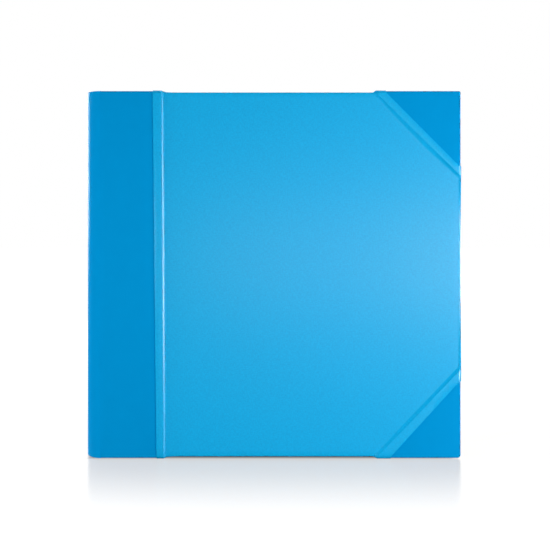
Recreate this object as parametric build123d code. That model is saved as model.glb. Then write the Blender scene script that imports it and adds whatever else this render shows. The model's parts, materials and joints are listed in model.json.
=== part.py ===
from build123d import *
import math
import os

# Square strap-hinge scrapbook album, standing upright on the tail edges of its covers.
# +X runs from the spine to the fore-edge, +Y from the front cover to the back cover, +Z up.
# The origin is under the middle of the whole album, on the surface that it stands on.
# Each cover is a board with a leather spine piece and two leather corners. A cloth side
# laps over them. Each leaf turns on flat straps that pass through its wire staples.

# Leaves
page_size = 304.8            # a page is a 12 inch square of card
page_thickness = 0.5
leaf_count = 12
leaf_pitch = 3.3             # from the middle of one leaf to the middle of the next
binding_width = 10.0         # stiffened strip down the page's bound edge
binding_thickness = 1.4
film_thickness = 0.15        # clear page protector
film_play = 0.05             # between card and film
film_margin = 1.0            # protector past the page at head, tail and fore-edge
film_setback = 2.0           # protector's open mouth from the binding strip

# Staples and straps
strap_count = 4
strap_width = 10.0
strap_thickness = 0.6
strap_bend = 1.2             # radius of the bend in the middle of the strap's thickness
strap_tail = 2.0             # how far a strap's end reaches into its hinge bar
strap_offset = 2.5           # from the cover's hinge line to the strap, towards the pages
strap_end_clearance = 1.05   # from the outer leaf's middle to the start of the bend
staple_wire = 0.8            # square wire
staple_leg = 6.0             # length held in the binding strip
staple_play = 0.6            # beside the strap, at each leg
crown_reach = 2.6            # from the strap's middle to the middle of the crown
page_reach = 2.3             # from the strap's middle to the page's bound edge

# Covers
board_thickness = 2.5
leather_thickness = 1.8
cloth_thickness = 0.8
turn_in_thickness = 0.8      # coverings are pared where they turn in, level with the filler
turn_in_width = 15.0
endpaper_thickness = 0.4
endpaper_margin = 4.0        # endpaper short of the board at head, tail and fore-edge
head_margin = 7.6            # leather past the pages at head and tail
fore_edge_margin = 4.8       # leather past the pages at the fore-edge
leaf_clearance = 3.35        # from the outer leaf's middle to the endpaper
board_gap = 0.8              # from the hinge line to the board

# Where the cloth stops on the leather, and how far the leather runs on under it
cloth_edge_head = 45.2       # from the hinge line
cloth_edge_tail = 49.2
spine_lap_head = 8.7
spine_lap_tail = 7.4
upper_corner_legs = (65.6, 65.0)    # bare leather along the head and down the fore-edge
upper_corner_laps = (9.2, 8.8)
lower_corner_legs = (62.1, 68.3)    # bare leather along the tail and up the fore-edge
lower_corner_laps = (11.5, 9.1)

# Spine
spine_depth = 14.4           # how far the spine bulges past the hinge line
spine_centre = 1.5           # ellipse centre from the hinge line, towards the pages
liner_thickness = 0.8
liner_margin = 2.5           # liner short of the leather at head and tail
flap_play = 0.7              # between the two flaps where they overlap
flap_overlap = 0.44          # of the half thickness, each side of the spine's middle
bar_width = 2.8
bar_clearance = 0.85         # from the outer leaf's middle to the bar
bar_past_hinge = 0.4         # bar past the hinge line, towards the pages
bar_margin = 8.0             # bar short of the leather at head and tail
fit_gap = 0.05               # glue line of the bar, play round a strap

# Places worked out from the sizes
outer_leaf = (leaf_count - 1) / 2 * leaf_pitch
endpaper_face = outer_leaf + leaf_clearance
turn_in_face = endpaper_face + endpaper_thickness
board_inner = turn_in_face + turn_in_thickness
board_outer = board_inner + board_thickness
leather_face = board_outer + leather_thickness
strip_face = leather_face + cloth_thickness

total_width = (spine_depth + strap_offset + page_reach + page_size
               + fore_edge_margin + cloth_thickness)
hinge_x = spine_depth - total_width / 2
strap_x = hinge_x + strap_offset
page_left = strap_x + page_reach
page_right = page_left + page_size
leather_right = page_right + fore_edge_margin
board_left = hinge_x + board_gap
board_right = leather_right - leather_thickness

leather_tail = cloth_thickness
page_tail = leather_tail + head_margin
page_head = page_tail + page_size
leather_head = page_head + head_margin
board_tail = leather_tail + leather_thickness
board_head = leather_head - leather_thickness

reach = 3 * turn_in_width    # how far a cutting outline runs past the cover


def block(x0, x1, y0, y1, z0, z1):
    """A box between two corners."""
    return Pos((x0 + x1) / 2, (y0 + y1) / 2, (z0 + z1) / 2) * Box(x1 - x0, abs(y1 - y0), z1 - z0)


def slab(outline, side, inner, outer):
    """An outline of (x, z) points, made solid between two distances from the middle plane."""
    wire = Wire.make_polygon([(x, side * inner, z) for x, z in outline], close=True)
    return Solid.extrude(Face(wire), Vector(0, side * (outer - inner), 0))


def board_block(side, grow, inner, outer, left=board_left):
    """The board's outline grown at head, tail and fore-edge, between two depths."""
    return block(left, board_right + grow, side * inner, side * outer,
                 board_tail - grow, board_head + grow)


def spine_side(side, head_x, tail_x, inner, outer):
    """All of the cover on the spine's side of a line from head to tail."""
    lean = (head_x - tail_x) / (leather_head - leather_tail)
    low, high = leather_tail - reach, leather_head + reach
    return slab([(hinge_x - reach, low), (tail_x + lean * (low - leather_tail), low),
                 (tail_x + lean * (high - leather_tail), high), (hinge_x - reach, high)],
                side, inner, outer)


def corner_side(side, legs, upper, inner, outer):
    """All of the cover outside a line across one fore-edge corner."""
    along, down = legs
    corner_z, sign = (leather_head, -1) if upper else (leather_tail, 1)
    step_x, step_z = reach, sign * reach * down / along
    start = (leather_right - along - step_x, corner_z - step_z)
    end = (leather_right + step_x, corner_z + sign * down + step_z)
    return slab([start, end, (end[0], start[1])], side, inner, outer)


def lapped(legs, laps):
    """A corner's outline, grown by its lap under the cloth."""
    return tuple(leg + lap for leg, lap in zip(legs, laps))


def inner_window(side, left=board_left):
    """The inside of the board that the turned-in coverings leave bare."""
    return block(left, board_right - turn_in_width, side * turn_in_face, side * board_inner,
                 board_tail + turn_in_width, board_head - turn_in_width)


def hollowed(shape, side):
    """A wrap with the board and the inner window taken out of it."""
    return shape - board_block(side, 0, board_inner, board_outer) - inner_window(side)


leather_edge = (hinge_x + cloth_edge_head + spine_lap_head,
                hinge_x + cloth_edge_tail + spine_lap_tail)
cloth_edge = (hinge_x + cloth_edge_head, hinge_x + cloth_edge_tail)
corners = {"upper": (upper_corner_legs, upper_corner_laps),
           "lower": (lower_corner_legs, lower_corner_laps)}


def leather_spine_piece(side):
    """Leather over the board's spine end, turned in at head and tail."""
    wrap = board_block(side, leather_thickness, turn_in_face, leather_face)
    kept = spine_side(side, *leather_edge, turn_in_face, leather_face)
    return hollowed(wrap & kept, side)


def leather_corner(side, name):
    """Leather over one fore-edge corner, turned in along both edges."""
    legs, laps = corners[name]
    wrap = board_block(side, leather_thickness, turn_in_face, leather_face)
    kept = corner_side(side, lapped(legs, laps), name == "upper", turn_in_face, leather_face)
    return hollowed(wrap & kept, side)


def cloth_side(side):
    """Cloth over the board, stepping up on to the leather at the spine and both corners."""
    on_board = board_block(side, cloth_thickness, turn_in_face, board_outer + cloth_thickness)
    on_leather = board_block(side, leather_thickness + cloth_thickness, board_inner, strip_face)
    depths = turn_in_face, strip_face
    riser_edge = [x + cloth_thickness for x in leather_edge]
    laps = spine_side(side, *riser_edge, *depths) - spine_side(side, *cloth_edge, *depths)
    leather = spine_side(side, *leather_edge, *depths)
    for name, (legs, lap) in corners.items():
        upper = name == "upper"
        under = lapped(legs, lap)
        rise = cloth_thickness * math.hypot(*under) / min(under)
        riser = tuple(leg + rise for leg in under)
        laps += corner_side(side, riser, upper, *depths) - corner_side(side, legs, upper, *depths)
        leather += corner_side(side, under, upper, *depths)
    bare = on_board - leather
    over = (on_leather & laps) - (board_block(side, leather_thickness, turn_in_face, leather_face)
                                  & leather)
    return hollowed(bare + over, side)


def cover(side, prefix):
    """One cover's pieces, by name."""
    made = {"board": board_block(side, 0, board_inner, board_outer),
            "spine_leather": leather_spine_piece(side),
            "side_cloth": cloth_side(side),
            "filler_card": inner_window(side),
            "endpaper": block(board_left, board_right - endpaper_margin,
                              side * endpaper_face, side * turn_in_face,
                              board_tail + endpaper_margin, board_head - endpaper_margin)}
    for name in corners:
        made[name + "_corner"] = leather_corner(side, name)
    return {f"{prefix}_{name}": shape for name, shape in made.items()}


# Spine: two curved flaps, one tucked under the other
spine_x = hinge_x + spine_centre
outer_axis = spine_depth + spine_centre


def crease_axis(axis):
    """The other half axis of an ellipse that meets the leather's face at the hinge line."""
    return leather_face / math.sqrt(1 - (spine_centre / axis) ** 2)


def arc_layer(axes, inset, thickness, low_y, high_y, margin):
    """A layer of a curved flap, inset from the flap's outer ellipse."""
    ring = Ellipse(axes[0] - inset, axes[1] - inset)
    ring -= Ellipse(axes[0] - inset - thickness, axes[1] - inset - thickness)
    height = leather_head - leather_tail - 2 * margin
    window = Pos(hinge_x - spine_depth, (low_y + high_y) / 2) * Rectangle(2 * spine_depth,
                                                                         high_y - low_y)
    return Pos(0, 0, leather_tail + margin) * extrude((Pos(spine_x, 0) * ring) & window, height)


def flap(axes, low_y, high_y, prefix):
    """A flap's leather and the liner that stiffens it."""
    return {prefix + "_leather": arc_layer(axes, 0, leather_thickness, low_y, high_y, 0),
            prefix + "_liner": arc_layer(axes, leather_thickness, liner_thickness,
                                         low_y, high_y, liner_margin)}


flap_thickness = leather_thickness + liner_thickness
outer_axes = outer_axis, crease_axis(outer_axis)
inner_axis = outer_axis - flap_thickness - flap_play
inner_axes = inner_axis, crease_axis(inner_axis)
overlap_y = flap_overlap * leather_face


def strap_heights():
    """The middle of each strap, from tail to head."""
    return [page_tail + page_size * (n + 0.5) / strap_count for n in range(strap_count)]


bend_y = outer_leaf + strap_end_clearance
tail_y = bend_y + strap_bend
strap_end_x = hinge_x + bar_past_hinge - strap_tail


def strap_section(grow):
    """A strap seen from above: a straight run, two bends and two tails. grow thickens it."""
    thick = strap_thickness + 2 * grow
    bend_x = strap_x - strap_bend
    section = Pos(strap_x, 0) * Rectangle(thick, 2 * bend_y)
    for sign in (-1, 1):
        ring = Circle(strap_bend + thick / 2) - Circle(strap_bend - thick / 2)
        quarter = Pos(strap_bend, sign * strap_bend) * Rectangle(2 * strap_bend, 2 * strap_bend)
        section += Pos(bend_x, sign * bend_y) * (ring & quarter)
        section += Pos((bend_x + strap_end_x) / 2, sign * tail_y) * Rectangle(
            bend_x - strap_end_x, thick)
    return section


def straps(grow=0.0):
    """Every strap. With grow it is the room that each one takes."""
    height = strap_width + 2 * grow
    return [Pos(0, 0, z - height / 2) * extrude(strap_section(grow), height)
            for z in strap_heights()]


def hinge_bar(side, axes):
    """The bar that holds the straps' ends, seated on the inside of a flap's liner."""
    inset = flap_thickness + fit_gap
    inner_y = outer_leaf + bar_clearance
    right = hinge_x + bar_past_hinge
    room = Pos(right - bar_width / 2, side * (inner_y + leather_face) / 2) * Rectangle(
        bar_width, leather_face - inner_y)
    seat = Pos(spine_x, 0) * Ellipse(axes[0] - inset, axes[1] - inset)
    height = leather_head - leather_tail - 2 * bar_margin
    bar = Pos(0, 0, leather_tail + bar_margin) * extrude(room & seat, height)
    for strap in straps(fit_gap):
        bar -= strap
    return bar


# Leaves
leg_spacing = strap_width + 2 * staple_play + staple_wire


def leaf_y(number):
    """The middle plane of a leaf, counted from the front."""
    return (number - (leaf_count - 1) / 2) * leaf_pitch


def staple(y, z, half_wire=staple_wire / 2):
    """A square wire staple round one strap, with its legs in the binding strip."""
    crown_x = strap_x - crown_reach
    wire = block(crown_x - half_wire, crown_x + half_wire, y - half_wire, y + half_wire,
                 z - leg_spacing / 2 - half_wire, z + leg_spacing / 2 + half_wire)
    for sign in (-1, 1):
        leg_z = z + sign * leg_spacing / 2
        wire += block(crown_x, page_left + staple_leg, y - half_wire, y + half_wire,
                      leg_z - half_wire, leg_z + half_wire)
    return wire


def leaf(number):
    """One leaf: the card with its binding strip, its staples and its clear protector."""
    y = leaf_y(number)
    half_card, half_strip = page_thickness / 2, binding_thickness / 2
    wires = [staple(y, z) for z in strap_heights()]
    page = block(page_left, page_right, y - half_card, y + half_card, page_tail, page_head)
    page += block(page_left, page_left + binding_width, y - half_strip, y + half_strip,
                  page_tail, page_head)
    for wire in wires:
        page -= wire
    mouth = page_left + binding_width + film_setback
    inner, outer = half_card + film_play, half_card + film_play + film_thickness
    weld = film_margin - film_thickness
    pocket = block(mouth, page_right + film_margin, y - outer, y + outer,
                   page_tail - film_margin, page_head + film_margin)
    pocket -= block(mouth - film_margin, page_right + weld, y - inner, y + inner,
                    page_tail - weld, page_head + weld)
    name = f"{number + 1:02d}"
    return {f"page_{name}": page, f"staples_{name}": wires, f"protector_{name}": pocket}


def album():
    """Every piece of the album, by name."""
    pieces = cover(-1, "front") | cover(1, "back")
    pieces |= flap(outer_axes, -leather_face, overlap_y, "spine_outer")
    pieces |= flap(inner_axes, -overlap_y, leather_face, "spine_inner")
    pieces["front_hinge_bar"] = hinge_bar(-1, outer_axes)
    pieces["back_hinge_bar"] = hinge_bar(1, inner_axes)
    pieces |= {f"strap_{n + 1}": strap for n, strap in enumerate(straps())}
    for number in range(leaf_count):
        pieces |= leaf(number)
    return pieces


os.makedirs("parts", exist_ok=True)
for piece_name, piece in album().items():
    solids = piece if isinstance(piece, list) else [piece]
    whole = Compound(children=[s for shape in solids for s in shape.solids()])
    export_step(whole, f"parts/{piece_name}.step")
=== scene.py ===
import bpy
import json
import math
from mathutils import Matrix, Vector


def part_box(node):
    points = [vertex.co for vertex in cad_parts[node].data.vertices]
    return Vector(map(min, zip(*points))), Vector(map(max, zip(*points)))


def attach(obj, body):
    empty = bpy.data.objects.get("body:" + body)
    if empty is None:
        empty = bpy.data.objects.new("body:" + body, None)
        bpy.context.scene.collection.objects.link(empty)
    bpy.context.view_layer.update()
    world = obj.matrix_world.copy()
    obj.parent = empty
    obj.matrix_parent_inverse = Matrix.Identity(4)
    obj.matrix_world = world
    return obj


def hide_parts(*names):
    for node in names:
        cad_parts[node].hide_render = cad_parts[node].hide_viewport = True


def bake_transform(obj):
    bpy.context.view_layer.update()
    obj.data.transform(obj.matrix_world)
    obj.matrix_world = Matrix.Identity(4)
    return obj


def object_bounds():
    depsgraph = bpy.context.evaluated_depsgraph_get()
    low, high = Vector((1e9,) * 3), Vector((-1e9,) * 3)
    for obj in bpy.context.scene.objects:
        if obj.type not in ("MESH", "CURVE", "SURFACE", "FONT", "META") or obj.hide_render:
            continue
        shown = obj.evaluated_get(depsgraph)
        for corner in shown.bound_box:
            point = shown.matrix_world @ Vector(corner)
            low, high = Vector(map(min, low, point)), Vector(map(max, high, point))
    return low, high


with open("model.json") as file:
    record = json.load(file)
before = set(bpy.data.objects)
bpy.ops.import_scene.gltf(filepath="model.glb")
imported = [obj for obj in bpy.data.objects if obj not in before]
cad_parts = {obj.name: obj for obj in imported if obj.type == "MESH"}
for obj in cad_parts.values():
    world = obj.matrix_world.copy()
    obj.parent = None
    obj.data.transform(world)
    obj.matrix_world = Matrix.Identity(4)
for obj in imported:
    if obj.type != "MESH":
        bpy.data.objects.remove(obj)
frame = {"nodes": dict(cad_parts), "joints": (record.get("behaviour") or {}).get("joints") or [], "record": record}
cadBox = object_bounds()

# A square scrapbook album: leather spine and corners, linen book cloth sides, and card leaves
# in clear protectors that turn on nylon straps. mm() turns millimetres into metres, and the
# studio's large sizes are in metres. The back cover's pieces mirror the front cover's.


def mm(value):
    return value / 1000


# places read from the frame
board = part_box("front_board")
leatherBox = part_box("front_spine_leather")
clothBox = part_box("front_side_cloth")
hingeX = next(Vector(j["pos_m"]).x for j in frame["joints"] if j["child"] == "front_cover")
boardFace = -board[0].y
leatherFace = -leatherBox[0].y
turnInFace = -leatherBox[1].y
leatherThickness = leatherFace - boardFace
clothThickness = -clothBox[0].y - leatherFace
headZ, tailZ = leatherBox[1].z, leatherBox[0].z
foreX = board[1].x + leatherThickness
middle = Vector((0, 0, (headZ + tailZ) / 2))

slack = mm(0.05)    # places this near are the same place
facing = 0.9        # a face looks along an axis when its normal goes this far along it

cover = {
    "turnIn": mm(15),                       # width turned over the board's edges
    "pared": mm(0.8),                       # thickness of what is turned in
    "clothEdge": (mm(45.8), mm(49.2)),      # cloth's edge from the hinge, at head and tail
    "spineLap": (mm(7.6), mm(6.1)),         # leather that runs on under the cloth
    "upperCorner": (mm(66.4), mm(66.8)),    # bare leather along the head, down the fore-edge
    "upperLap": (mm(8.6), mm(7.4)),
    "lowerCorner": (mm(62.1), mm(68.3)),
    "lowerLap": (mm(11.5), mm(9.1)),
    "roll": mm(1.3),                        # rounding over the board's edges
    "rollSteps": 4,                         # faces round the roll
    "upperRound": mm(1.3),                  # rounding of the fore-edge corners
    "lowerRound": mm(2.6),
    "roundSteps": 5,                        # faces round a corner
    "leatherSoft": mm(0.3),                 # softness of a cut leather edge
    "softFrom": math.radians(50),           # edges sharper than this are softened
    "smoothTo": math.radians(40),           # and flatter ones are shaded smooth
}


# small tools

def deselectAll():
    if bpy.context.object and bpy.context.object.mode != "OBJECT":
        bpy.ops.object.mode_set(mode="OBJECT")
    bpy.ops.object.select_all(action="DESELECT")


def useOnly(piece):
    deselectAll()
    piece.select_set(True)
    bpy.context.view_layer.objects.active = piece


def pickFaces(piece, test):
    # selects the faces whose centre and normal pass the test, and goes to edit mode
    bpy.ops.object.mode_set(mode="EDIT")
    bpy.ops.mesh.select_mode(type="FACE")
    bpy.ops.mesh.select_all(action="DESELECT")
    bpy.ops.object.mode_set(mode="OBJECT")
    for face in piece.data.polygons:
        face.select = test(face.center, face.normal)
    bpy.ops.object.mode_set(mode="EDIT")


def pickEdges(piece, test):
    # selects the edges whose two ends both pass the test, and goes to edit mode
    bpy.ops.object.mode_set(mode="EDIT")
    bpy.ops.mesh.select_mode(type="EDGE")
    bpy.ops.mesh.select_all(action="DESELECT")
    bpy.ops.object.mode_set(mode="OBJECT")
    verts = piece.data.vertices
    for edge in piece.data.edges:
        edge.select = all(test(verts[v].co) for v in edge.vertices)
    bpy.ops.object.mode_set(mode="EDIT")


def cut(point, normal, clearOuter=False, clearInner=False, selected=False):
    if not selected:
        bpy.ops.mesh.select_all(action="SELECT")
    bpy.ops.mesh.bisect(plane_co=point, plane_no=normal, clear_outer=clearOuter,
                        clear_inner=clearInner, threshold=mm(0.001))


def near(a, b):
    return abs(a - b) < slack


def applyModifiers(piece, *kinds):
    # adds each modifier with its settings and applies it at once
    useOnly(piece)
    for kind, settings in kinds:
        modifier = piece.modifiers.new(kind.title(), kind)
        for key, value in settings.items():
            setattr(modifier, key, value)
        bpy.ops.object.modifier_apply(modifier=modifier.name)


def edgeLine(a, b):
    # a line across the cover: a point on it and its normal, which points away from the middle
    along = Vector((b[0] - a[0], 0, b[1] - a[1])).normalized()
    normal = along.cross(Vector((0, 1, 0)))
    point = Vector((a[0], 0, a[1]))
    return point, normal if (middle - point).dot(normal) < 0 else -normal


def cornerLine(legs, upper):
    z = headZ if upper else tailZ
    down = -legs[1] if upper else legs[1]
    return edgeLine((foreX - legs[0], z), (foreX, z + down))


def summed(a, b):
    return tuple(x + y for x, y in zip(a, b))


clothSpine = [hingeX + x for x in cover["clothEdge"]]
leatherSpineEnds = [hingeX + x for x in summed(cover["clothEdge"], cover["spineLap"])]
edges = {
    "clothSpine": edgeLine((clothSpine[0], headZ), (clothSpine[1], tailZ)),
    "clothUpper": cornerLine(cover["upperCorner"], True),
    "clothLower": cornerLine(cover["lowerCorner"], False),
    "leatherSpine": edgeLine((leatherSpineEnds[0], headZ), (leatherSpineEnds[1], tailZ)),
    "leatherUpper": cornerLine(summed(cover["upperCorner"], cover["upperLap"]), True),
    "leatherLower": cornerLine(summed(cover["lowerCorner"], cover["lowerLap"]), False),
}


def boardWrap(name, thickness, left):
    # a skin over the board: front, head, tail and fore-edge, turned in behind
    low = Vector((left, -boardFace - thickness, board[0].z - thickness))
    high = Vector((board[1].x + thickness, -turnInFace, board[1].z + thickness))
    deselectAll()
    bpy.ops.mesh.primitive_cube_add(size=1, location=(low + high) / 2)
    piece = bpy.context.object
    piece.name = name
    piece.scale = high - low
    bpy.ops.object.transform_apply(location=True, rotation=True, scale=True)
    pickFaces(piece, lambda c, n: n.x < -facing)
    bpy.ops.mesh.delete(type="ONLY_FACE")
    for z, radius in ((high.z, cover["upperRound"]), (low.z, cover["lowerRound"])):
        pickEdges(piece, lambda c: near(c.x, high.x) and near(c.z, z))
        bpy.ops.mesh.bevel(offset=radius, segments=cover["roundSteps"], affect="EDGES")
    roundX = high.x - 2 * cover["lowerRound"]
    pickEdges(piece, lambda c: near(c.y, low.y) and (
        near(c.z, high.z) or near(c.z, low.z) or c.x > roundX))
    bpy.ops.mesh.bevel(offset=cover["roll"], segments=cover["rollSteps"], affect="EDGES")
    # the turn-in behind: the board stays bare inside it
    inX = high.x - cover["turnIn"]
    inZ = (low.z + cover["turnIn"], high.z - cover["turnIn"])
    for point, normal in (((inX, 0, 0), (1, 0, 0)), ((0, 0, inZ[0]), (0, 0, 1)),
                          ((0, 0, inZ[1]), (0, 0, 1))):
        pickFaces(piece, lambda c, n: n.y > facing)
        cut(point, normal, selected=True)
    pickFaces(piece, lambda c, n: n.y > facing and c.x < inX and inZ[0] < c.z < inZ[1])
    bpy.ops.mesh.delete(type="FACE")
    bpy.ops.object.mode_set(mode="OBJECT")
    return piece


def cutGrid(piece, step, lowX, highX):
    # even cuts across the cover, so that the skin can follow what lies under it
    useOnly(piece)
    bpy.ops.object.mode_set(mode="EDIT")
    columns = round((highX - lowX) / step)
    for n in range(1, columns):
        cut((lowX + (highX - lowX) * n / columns, 0, 0), (1, 0, 0))
    rows = round((headZ - tailZ) / step)
    for n in range(1, rows):
        cut((0, 0, tailZ + (headZ - tailZ) * n / rows), (0, 0, 1))
    bpy.ops.object.mode_set(mode="OBJECT")


def trimUnderCloth(piece, line):
    # under the cloth the leather stops at the board's inner edge, and the cloth turns in alone
    point, normal = line
    innerY = -turnInFace - cover["pared"]
    for place, direction in ((point, normal), ((0, innerY, 0), (0, 1, 0))):
        useOnly(piece)
        bpy.ops.object.mode_set(mode="EDIT")
        cut(place, direction)
    pickFaces(piece, lambda c, n: c.y > innerY and (c - point).dot(normal) < 0)
    bpy.ops.mesh.delete(type="FACE")
    bpy.ops.object.mode_set(mode="OBJECT")


def pareTurnIns(piece, thickness):
    # what is turned in behind the board is thinner, and the spine's flap isn't
    group = piece.vertex_groups.new(name="full")
    front = [v.index for v in piece.data.vertices
             if v.co.y < -turnInFace - slack or v.co.x < board[0].x - 2 * slack]
    group.add(front, 1.0, "REPLACE")
    return {"thickness": thickness, "offset": -1, "use_even_offset": True,
            "vertex_group": "full", "thickness_vertex_group": cover["pared"] / thickness}


def finishSkin(piece, thickness, softness, segments=2):
    # gives a skin its thickness and softens its cut edges
    applyModifiers(
        piece,
        ("SOLIDIFY", pareTurnIns(piece, thickness)),
        ("BEVEL", {"width": softness, "segments": segments, "limit_method": "ANGLE",
                   "angle_limit": cover["softFrom"]}))
    piece.vertex_groups.clear()
    bpy.ops.object.shade_smooth_by_angle(angle=cover["smoothTo"])


def mirrorMesh(piece):
    # from the front cover to the back, with its faces turned outwards again
    piece.data.transform(Matrix.Diagonal((1, -1, 1, 1)))
    useOnly(piece)
    bpy.ops.object.mode_set(mode="EDIT")
    bpy.ops.mesh.select_all(action="SELECT")
    bpy.ops.mesh.flip_normals()
    bpy.ops.object.mode_set(mode="OBJECT")


def mirrored(piece, name):
    # the same piece on the back cover
    useOnly(piece)
    bpy.ops.object.duplicate()
    twin = bpy.context.object
    twin.name = name
    twin.data.name = name
    mirrorMesh(twin)
    return twin


# leather corners

def leatherCorner(name, key):
    piece = boardWrap(name, leatherThickness, board[0].x)
    bpy.ops.object.mode_set(mode="EDIT")
    point, normal = edges["leather" + key]
    cut(point, normal, clearInner=True)
    bpy.ops.object.mode_set(mode="OBJECT")
    trimUnderCloth(piece, edges["cloth" + key])
    finishSkin(piece, leatherThickness, cover["leatherSoft"])
    return piece


# leather spine: a cover's spine piece and its curved flap are one hide

spine = {
    "centre": mm(1.5),          # middle of the curve from the hinge, towards the leaves
    "freeEdge": mm(11.88),      # where the flap ends, past the middle plane
    "laidFlat": mm(45),         # width of the flap before it is curved
    "columns": 44,              # steps round the curve
    "creaseSteps": 8,           # steps across the crease where it bends
    "soft": mm(0.5),            # softness of its cut edges
    "softSteps": 3,
}


def leatherSpine(name, flapNode):
    piece = boardWrap(name, leatherThickness, board[0].x)
    point, normal = edges["leatherSpine"]
    bpy.ops.object.mode_set(mode="EDIT")
    cut(point, normal, clearInner=True)
    trimUnderCloth(piece, edges["clothSpine"])
    # the hide runs on past the board, flat for now
    flat = spine["laidFlat"]
    pickEdges(piece, lambda c: near(c.x, board[0].x) and near(c.y, -leatherFace))
    bpy.ops.mesh.extrude_region_move(TRANSFORM_OT_translate={
        "value": (hingeX - flat - board[0].x, 0, 0)})
    width = 2 * (board[0].x - hingeX)
    for n in range(1, spine["creaseSteps"]):
        cut((board[0].x - width * n / spine["creaseSteps"], 0, 0), (1, 0, 0))
    for n in range(spine["columns"]):
        cut((hingeX - flat * n / spine["columns"], 0, 0), (1, 0, 0))
    for z in (headZ, tailZ):
        inner = z - cover["roll"] if z == headZ else z + cover["roll"]
        pickEdges(piece, lambda c: c.x < board[0].x + slack and near(c.z, inner)
                  and near(c.y, -leatherFace))
        bpy.ops.mesh.extrude_region_move(TRANSFORM_OT_translate={"value": (0, 0, z - inner)})
    bpy.ops.object.mode_set(mode="OBJECT")
    # then it is curved round the leaves to its free edge
    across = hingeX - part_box(flapNode)[0].x + spine["centre"]
    half = leatherFace / math.sqrt(1 - (spine["centre"] / across) ** 2)
    start = math.asin(-leatherFace / half)
    end = math.asin(spine["freeEdge"] / half)
    for vert in piece.data.vertices:
        past = (hingeX - vert.co.x) / flat
        if past > 0:
            angle = start + (end - start) * past
            vert.co.x = hingeX + spine["centre"] - across * math.cos(angle)
            vert.co.y = half * math.sin(angle)
    finishSkin(piece, leatherThickness, spine["soft"], spine["softSteps"])
    return piece


# linen cloth side

cloth = {
    "grid": mm(6),              # spacing of the cuts that let it follow what lies under it
    "spare": mm(2),             # width beyond its spine edge, before that is cut
    "soft": mm(0.25),           # softness of its cut edges
    "spineEase": mm(2.3),       # width of the slope where the cloth comes down off the leather
    "edgeEase": mm(7),          # its width over the head and tail edges, where the cloth bridges
    "foreEase": mm(200),        # and down the fore-edge, from corner to corner
    "steepness": {"Spine": 2.1, "Upper": 2.0, "Lower": 1.25},   # 1 is an even slope
    "upperEase": (mm(2.2), mm(5.6)),    # at the ends of the corner's edge, and at its middle
    "lowerEase": (mm(2.8), mm(3.3)),
    "easeCuts": (0, 0.12, 0.3, 0.5, 0.7, 0.88, 1.0),    # shares of the slope
    "crest": mm(0.3),           # flat beside the slope, so that its edges stay crisp
}


def clothLift(position, outward):
    # how far the cloth stands off the board beside the leather: steep at the leather's edge
    head, fore = abs(outward.z) / outward.length, abs(outward.x) / outward.length
    widths = {"Spine": cloth["spineEase"] + (cloth["edgeEase"] - cloth["spineEase"]) * head}
    for corner in ("upper", "lower"):
        along = cover[corner + "Corner"][0] + cover[corner + "Lap"][0]
        share = min(max((foreX - position.x) / along, 0), 1)
        ends, centre = cloth[corner + "Ease"]
        width = ends + (centre - ends) * math.sin(math.pi * share)
        widths[corner.title()] = width + (cloth["foreEase"] - width) * fore ** 3
    lift = 0
    for key, width in widths.items():
        point, normal = edges["leather" + key]
        past = min(max((position - point).dot(normal) / width + 1, 0), 1)
        lift = max(lift, leatherThickness * past ** cloth["steepness"][key])
    return lift


def clothSide(name):
    piece = boardWrap(name, clothThickness, hingeX + min(cover["clothEdge"]) - cloth["spare"])
    cutGrid(piece, cloth["grid"], hingeX + min(cover["clothEdge"]), foreX)
    bpy.ops.object.mode_set(mode="EDIT")
    for key in ("clothSpine", "clothUpper", "clothLower"):
        cut(*edges[key], clearOuter=True)
    for key in ("Spine", "Upper", "Lower"):
        point, normal = edges["leather" + key]
        widest = cloth["spineEase"] if key == "Spine" else cloth[key.lower() + "Ease"][1]
        cut(point + normal * cloth["crest"], normal)
        for share in cloth["easeCuts"]:
            cut(point - normal * widest * share, normal)
        cut(point - normal * (widest + cloth["crest"]), normal)
    bpy.ops.object.mode_set(mode="OBJECT")
    # it lies on the board, and comes up over the leather at the spine and both corners
    for vert in piece.data.vertices:
        core = Vector((min(vert.co.x, board[1].x), min(max(vert.co.y, -boardFace), -turnInFace),
                       min(max(vert.co.z, board[0].z), board[1].z)))    # nearest place on the board
        outward = vert.co - core
        if outward.length > 2 * slack:
            vert.co += outward.normalized() * clothLift(vert.co, outward)
    finishSkin(piece, clothThickness, cloth["soft"])
    return piece


def clothWrap():
    # how far the cloth goes over an edge and in behind
    return boardFace + leatherThickness - turnInFace + cover["turnIn"]


def clothArea():
    # the same without the slant at the spine and the two corners
    width = foreX - hingeX - sum(cover["clothEdge"]) / 2
    height = headZ - tailZ
    face = width * height
    overEdges = (2 * width + height) * clothWrap()
    for legs in (cover["upperCorner"], cover["lowerCorner"]):
        face -= legs[0] * legs[1] / 2
        overEdges -= sum(legs) * clothWrap()
    return face + overEdges


# build them

print("leather")
pieces = {}
for side, flapNode in (("front", "spine_outer_leather"), ("back", "spine_inner_leather")):
    hide = leatherSpine(side + "_spine_hide", flapNode)
    if side == "back":
        mirrorMesh(hide)
    pieces[hide.name] = hide
    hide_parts(side + "_spine_leather", flapNode)
    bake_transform(hide)

for corner in ("upper", "lower"):
    front = leatherCorner(f"front_{corner}_leather_corner", corner.title())
    back = mirrored(front, f"back_{corner}_leather_corner")
    for side, piece in (("front", front), ("back", back)):
        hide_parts(f"{side}_{corner}_corner")
        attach(piece, side + "_cover")
        pieces[piece.name] = piece

print("cloth")
front = clothSide("front_linen_side")
back = mirrored(front, "back_linen_side")
for side, piece in (("front", front), ("back", back)):
    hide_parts(side + "_side_cloth")
    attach(piece, side + "_cover")
    clothArea()
    pieces[piece.name] = piece


# materials

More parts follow.
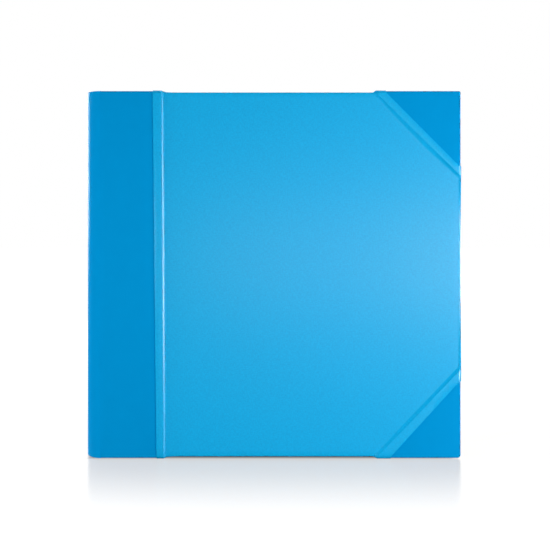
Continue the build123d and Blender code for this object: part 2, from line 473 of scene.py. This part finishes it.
def linear(hexColour):
    # an sRGB hex colour as linear values
    values = [int(hexColour[i:i + 2], 16) / 255 for i in (1, 3, 5)]
    return [v / 12.92 if v <= 0.04045 else ((v + 0.055) / 1.055) ** 2.4 for v in values] + [1]


def addNode(tree, kind, settings=None, links=None):
    node = tree.nodes.new("ShaderNode" + kind)
    for key, value in (settings or {}).items():
        if isinstance(key, int) or key in node.inputs:
            node.inputs[key].default_value = value
        else:
            setattr(node, key, value)
    for key, socket in (links or {}).items():
        tree.links.new(socket, node.inputs[key])
    return node


def newMaterial(name, surface):
    material = bpy.data.materials.new(name)
    material.use_nodes = True
    tree = material.node_tree
    shader = tree.nodes["Principled BSDF"]
    for key, value in surface.items():
        shader.inputs[key].default_value = value
    place = addNode(tree, "TexCoord").outputs["Object"]
    return material, tree, shader, place


def satinLeather():
    # aniline-dyed bonded leather, plated smooth: an even dye with a very fine closed grain
    material, tree, shader, place = newMaterial("Plated bonded leather", {
        "Roughness": 0.5, "IOR": 1.45, "Specular IOR Level": 0.015})
    mottle = addNode(tree, "TexNoise", {"Scale": 1 / mm(14), "Detail": 3, "Roughness": 0.6},
                     {"Vector": place})
    dye = addNode(tree, "MixRGB", {"Color1": linear("#0086c3"), "Color2": linear("#008bc8")},
                  {"Fac": mottle.outputs["Fac"]})
    grain = addNode(tree, "TexVoronoi", {"Scale": 1 / mm(0.55)}, {"Vector": place})
    bump = addNode(tree, "Bump", {"Strength": 0.3, "Distance": mm(0.05)},
                   {"Height": grain.outputs["Distance"]})
    tree.links.new(dye.outputs["Color"], shader.inputs["Base Color"])
    tree.links.new(bump.outputs["Normal"], shader.inputs["Normal"])
    return material


def linenCloth():
    # woven linen book cloth with a paper back: slubby threads give a soft broken mottle
    material, tree, shader, place = newMaterial("Woven linen book cloth", {
        "Roughness": 0.7, "IOR": 1.45, "Specular IOR Level": 0.05,
        "Coat Weight": 0.6, "Coat Roughness": 0.27})
    thread = mm(0.9)            # drawn about twice as coarse as the real thread, to show
    threads = []
    for axis, stretch in (("X", (1, 1, 0.4)), ("Z", (0.4, 1, 1))):
        turned = addNode(tree, "Mapping", {"Scale": stretch}, {"Vector": place})
        threads.append(addNode(tree, "TexNoise", {"Scale": 1 / thread, "Detail": 0},
                               {"Vector": turned.outputs["Vector"]}).outputs["Fac"])
    weave = addNode(tree, "Math", {"operation": "ADD"}, {0: threads[0], 1: threads[1]})
    tone = addNode(tree, "MapRange", {"From Min": 0.6, "From Max": 1.4},
                   {"Value": weave.outputs["Value"]})
    colour = addNode(tree, "MixRGB", {"Color1": linear("#009ad2"), "Color2": linear("#00a5dc")},
                     {"Fac": tone.outputs["Result"]})
    bump = addNode(tree, "Bump", {"Strength": 0.3, "Distance": mm(0.1)},
                   {"Height": weave.outputs["Value"]})
    tree.links.new(colour.outputs["Color"], shader.inputs["Base Color"])
    tree.links.new(bump.outputs["Normal"], shader.inputs["Normal"])
    return material


def fleckedSurface(name, colours, grain, depth, surface):
    # two close shades in uneven flecks, and a bump of the same grain
    material, tree, shader, place = newMaterial(name, surface)
    flecks = addNode(tree, "TexNoise", {"Scale": 1 / grain, "Detail": 4, "Roughness": 0.6},
                     {"Vector": place})
    shade = addNode(tree, "MapRange", {"From Min": 0.35, "From Max": 0.65},
                    {"Value": flecks.outputs["Fac"]})
    mix = addNode(tree, "MixRGB", {"Color1": linear(colours[0]), "Color2": linear(colours[1])},
                  {"Fac": shade.outputs["Result"]})
    bump = addNode(tree, "Bump", {"Strength": 0.3, "Distance": depth},
                   {"Height": flecks.outputs["Fac"]})
    tree.links.new(mix.outputs["Color"], shader.inputs["Base Color"])
    tree.links.new(bump.outputs["Normal"], shader.inputs["Normal"])
    return material


def nylonStrap():
    # flat woven nylon: round shiny threads over and under each other
    material, tree, shader, place = newMaterial("Woven nylon strap", {"Roughness": 0.45})
    thread = mm(0.9)
    waves = []
    # at a scale of 1 the bands repeat every pi / 10 metres
    for direction in ("X", "Z"):
        bands = {"bands_direction": direction, "Scale": math.pi / 10 / thread}
        waves.append(addNode(tree, "TexWave", bands, {"Vector": place}).outputs["Fac"])
    crossing = addNode(tree, "Math", {"operation": "MULTIPLY"}, {0: waves[0], 1: waves[1]})
    shade = addNode(tree, "MixRGB", {"Color1": linear("#c9c8c0"), "Color2": linear("#eeede7")},
                    {"Fac": crossing.outputs["Value"]})
    bump = addNode(tree, "Bump", {"Strength": 0.5, "Distance": mm(0.1)},
                   {"Height": crossing.outputs["Value"]})
    tree.links.new(shade.outputs["Color"], shader.inputs["Base Color"])
    tree.links.new(bump.outputs["Normal"], shader.inputs["Normal"])
    return material


def paint(material, *names):
    for name in names:
        piece = pieces.get(name) or frame["nodes"][name]
        piece.data.materials.clear()
        piece.data.materials.append(material)


print("materials")
leather, linen = satinLeather(), linenCloth()
paint(leather, *[n for n in pieces if "linen" not in n])
paint(linen, "front_linen_side", "back_linen_side")
slots = {}
for part in frame["record"]["subparts"]:
    slots.setdefault(part["material_slot"], []).append(part["node"])
paint(leather, *slots["leather"])
paint(linen, *slots["cloth"])
# by slot: the material's name, two close shades, the flecks' size, the bump's depth, and
# how the surface takes the light
flecked = {
    # pressed from grey pulp: coarse flecks, and dull
    "board": ("Grey bookbinding board", ("#8d887d", "#a8a398"), mm(1.2), mm(0.1),
              {"Roughness": 0.9}),
    # thin calendered paper, dyed through: an almost even blue
    "liner": ("Blue lining paper", ("#0c69a0", "#1078ad"), mm(0.8), mm(0.05),
              {"Roughness": 0.7, "Specular IOR Level": 0.2}),
    # smooth laid paper: cream, with soft fibres
    "endpaper": ("Ivory endpaper", ("#e2dccb", "#eae5d8"), mm(1.0), mm(0.05),
                 {"Roughness": 0.8, "Specular IOR Level": 0.2}),
    # uncoated pulp card: straw coloured, with coarse flecks
    "filler_card": ("Filler card", ("#aba291", "#bfb8aa"), mm(1.2), mm(0.1),
                    {"Roughness": 0.9}),
    # moulded against fine spark-eroded steel: milky and lightly pebbled
    "hinge_bar": ("Moulded polypropylene", ("#e5e5e2", "#edede9"), mm(0.6), mm(0.05),
                  {"Roughness": 0.4, "IOR": 1.49}),
    # acid-free uncoated card: cream, with a faint fibre mottle
    "page_card": ("Album card", ("#e4dfd1", "#edeae0"), mm(0.9), mm(0.05),
                  {"Roughness": 0.75, "Specular IOR Level": 0.3}),
    # drawn through a die: bright, with fine streaks
    "staple_wire": ("Drawn steel wire", ("#aeb2b6", "#c2c5c8"), mm(0.3), mm(0.01),
                    {"Roughness": 0.3, "Metallic": 1.0}),
    # cast thin and clear: it shows mostly by its gloss
    "protector_film": ("Clear polypropylene film", ("#f2f5f6", "#f8fafb"), mm(8), mm(0.02),
                       {"Roughness": 0.12, "Alpha": 0.05}),
}
for slot, recipe in flecked.items():
    paint(fleckedSurface(*recipe), *slots[slot])
paint(nylonStrap(), *slots["strap"])


# studio

studio = {
    "distance": 1.0,            # from the front cover to the camera
    "height": mm(214),
    "lens": 75.1,
    "shiftY": -0.1118,
    "centreX": mm(2.1),
    "floorSize": 12,            # wide enough to reach past the view on every side
    "fade": mm(230),            # from the album to where the floor is plain white
    "glowAndPaintedShade": (0.7, 1.0),         # the floor's glow beside the album, dimmed there as painted shade, and where it is plain
    "polish": 0.14,             # share of the floor's gloss beside the album
    "shade": (mm(-12), mm(-1)), # inside the album's edge, from where the painted shadow is dark to where not
    "dark": 0.03,               # share of its light in that painted shadow
    "spill": 0.06,              # share of its light that reaches the album
    "room": 0.3,                # the white room's light on matt surfaces
    "shine": (0.01, 3.0),       # what gloss shows of the room, and of the wall behind
    "wallSide": (-0.3, 0.4),    # how far round to the back a direction goes as the wall brightens
    "wallFoot": (0.1, 0.18),    # and how far up
}

# where each lamp is, what it looks at, its size, its power, and whether matt surfaces and
# glossy ones see it
lamps = {
    "key": ((0.68, -0.8, 0.165), (0.05, 0, 0.16), (0.2, 0.1), 9.1, True, False),
    "fill": ((-0.42, -0.6, 0.165), (-0.1, 0, 0.16), (0.2, 0.1), 1.3, True, False),
    "left_strip": ((-1.2, -0.1, 0.17), (-0.15, 0, 0.16), (0.4, 0.4), 9, True, False),
    "haze": ((0.45, -1.9, 0.1), (0.45, 0, 0.1), (1.3, 0.05), 3.8, False, True),
    "right_haze": ((0.75, -1.9, 0.1), (0.75, 0, 0.1), (0.7, 0.05), 4.0, False, True),
    "right_strip": ((1.0, -0.24, 0.17), (0.1, 0, 0.16), (0.1, 0.4), 12, False, True),
    "low_strip": ((0.6, -0.22, 0.05), (-0.1, 0, 0.03), (0.08, 0.09), 2, False, True),
    "right_fill": ((1.1, -0.1, 0.3), (0.1, 0, 0.16), (0.3, 0.3), 1.2, True, False),
    "back_key": ((-0.7, 1.1, 0.35), (0, 0, 0.16), (0.5, 0.4), 11.5, True, True),
}


def areaLight(name, place, aim, size, power, matt, gloss):
    light = bpy.data.lights.new(name, "AREA")
    light.shape = "RECTANGLE"
    light.size, light.size_y = size
    light.energy = power
    lamp = bpy.data.objects.new(name, light)
    lamp.location = place
    lamp.rotation_euler = (Vector(aim) - Vector(place)).to_track_quat("-Z", "Y").to_euler()
    lamp.visible_diffuse = matt
    lamp.visible_glossy = gloss
    bpy.context.scene.collection.objects.link(lamp)


def acrylicFloor():
    # a white acrylic sheet lit from below: soft light, dimmed beside and under the album as painted shade, and a
    # polish that fades from the album
    material, tree, shader, place = newMaterial("White acrylic sheet", {
        "Base Color": linear("#616161"), "Roughness": 0.8, "Specular IOR Level": 0.0,
        "Emission Color": linear("#ffffff")})
    # its distance from the album's box, which is below zero under the album
    spot = addNode(tree, "SeparateXYZ", links={"Vector": place})
    beyond = {}
    for n, axis in enumerate("XY"):
        low, high = cadBox[0][n], cadBox[1][n]
        shifted = addNode(tree, "Math", {"operation": "SUBTRACT", 1: (low + high) / 2},
                          {0: spot.outputs[axis]})
        away = addNode(tree, "Math", {"operation": "ABSOLUTE"}, {0: shifted.outputs["Value"]})
        past = addNode(tree, "Math", {"operation": "SUBTRACT", 1: (high - low) / 2},
                       {0: away.outputs["Value"]})
        beyond[n] = past.outputs["Value"]
    apart = addNode(tree, "Math", {"operation": "MAXIMUM"}, beyond).outputs["Value"]
    fades = {"interpolation_type": "SMOOTHSTEP", "From Min": 0, "From Max": studio["fade"]}
    # painted shade: the glow is dimmer beside the album and rises to plain white a fade's length away
    beside, plain = studio["glowAndPaintedShade"]
    glowAndPaintedShade = addNode(tree, "MapRange", {**fades, "To Min": beside, "To Max": plain},
                   {"Value": apart})
    polish = addNode(tree, "MapRange", {**fades, "To Min": studio["polish"], "To Max": 0},
                     {"Value": apart})
    # painted shadow: the floor's glow falls almost to nothing under the album
    inside, edge = studio["shade"]
    paintedShadowUnder = addNode(tree, "MapRange", {
        "From Min": inside, "From Max": edge, "To Min": studio["dark"]}, {"Value": apart})
    glowWithPaintedShadow = addNode(tree, "Math", {"operation": "MULTIPLY"}, {
        0: glowAndPaintedShade.outputs["Result"], 1: paintedShadowUnder.outputs["Result"]})
    # the light from below is for the eye, and little of it reaches the album
    eye = addNode(tree, "LightPath").outputs["Is Camera Ray"]
    spill = addNode(tree, "MapRange", {"To Min": studio["spill"]}, {"Value": eye})
    seen = addNode(tree, "Math", {"operation": "MULTIPLY"}, {
        0: glowWithPaintedShadow.outputs["Value"], 1: spill.outputs["Result"]})
    gloss = addNode(tree, "BsdfGlossy", {"Color": linear("#fffaf6"), "Roughness": 0.2})
    sheet = addNode(tree, "MixShader", links={
        "Fac": polish.outputs["Result"], 1: shader.outputs[0], 2: gloss.outputs[0]})
    tree.links.new(seen.outputs["Value"], shader.inputs["Emission Strength"])
    tree.links.new(sheet.outputs[0], tree.nodes["Material Output"].inputs["Surface"])
    return material


def whiteRoom():
    # the wall behind shows bright in the floor's polish, and the room ahead is dim
    world = bpy.data.worlds.new("Studio")
    world.use_nodes = True
    tree = world.node_tree
    ray = addNode(tree, "LightPath")
    around = addNode(tree, "TexCoord").outputs["Generated"]
    direction = addNode(tree, "SeparateXYZ", links={"Vector": around})
    ranges = []
    for axis, (start, full) in (("Y", studio["wallSide"]), ("Z", studio["wallFoot"])):
        ranges.append(addNode(tree, "MapRange", {"From Min": start, "From Max": full},
                              {"Value": direction.outputs[axis]}).outputs["Result"])
    wall = addNode(tree, "Math", {"operation": "MULTIPLY"}, {0: ranges[0], 1: ranges[1]})
    dim, bright = studio["shine"]
    shine = addNode(tree, "MapRange", {"To Min": dim, "To Max": bright},
                    {"Value": wall.outputs["Value"]})
    room = addNode(tree, "Mix", {"A": studio["room"]}, {
        "Factor": ray.outputs["Is Glossy Ray"], "B": shine.outputs["Result"]})
    seen = addNode(tree, "Mix", {"B": 1.0}, {
        "Factor": ray.outputs["Is Camera Ray"], "A": room.outputs["Result"]})
    background = tree.nodes["Background"]
    background.inputs["Color"].default_value = linear("#ffffff")
    tree.links.new(seen.outputs["Result"], background.inputs["Strength"])
    return world


print("studio")
deselectAll()
bpy.ops.mesh.primitive_plane_add(size=studio["floorSize"])
floor = bpy.context.object
floor.name = "studio_floor"
floor.data.materials.append(acrylicFloor())
bpy.context.scene.world = whiteRoom()
bpy.context.scene.view_settings.view_transform = "Standard"
for name, settings in lamps.items():
    areaLight(name, *settings)

cameraData = bpy.data.cameras.new("Camera")
cameraData.lens = studio["lens"]
cameraData.shift_y = studio["shiftY"]
camera = bpy.data.objects.new("Camera", cameraData)
camera.location = (studio["centreX"], -leatherFace - studio["distance"], studio["height"])
camera.rotation_euler = (math.radians(90), 0, 0)
bpy.context.scene.collection.objects.link(camera)
bpy.context.scene.camera = camera
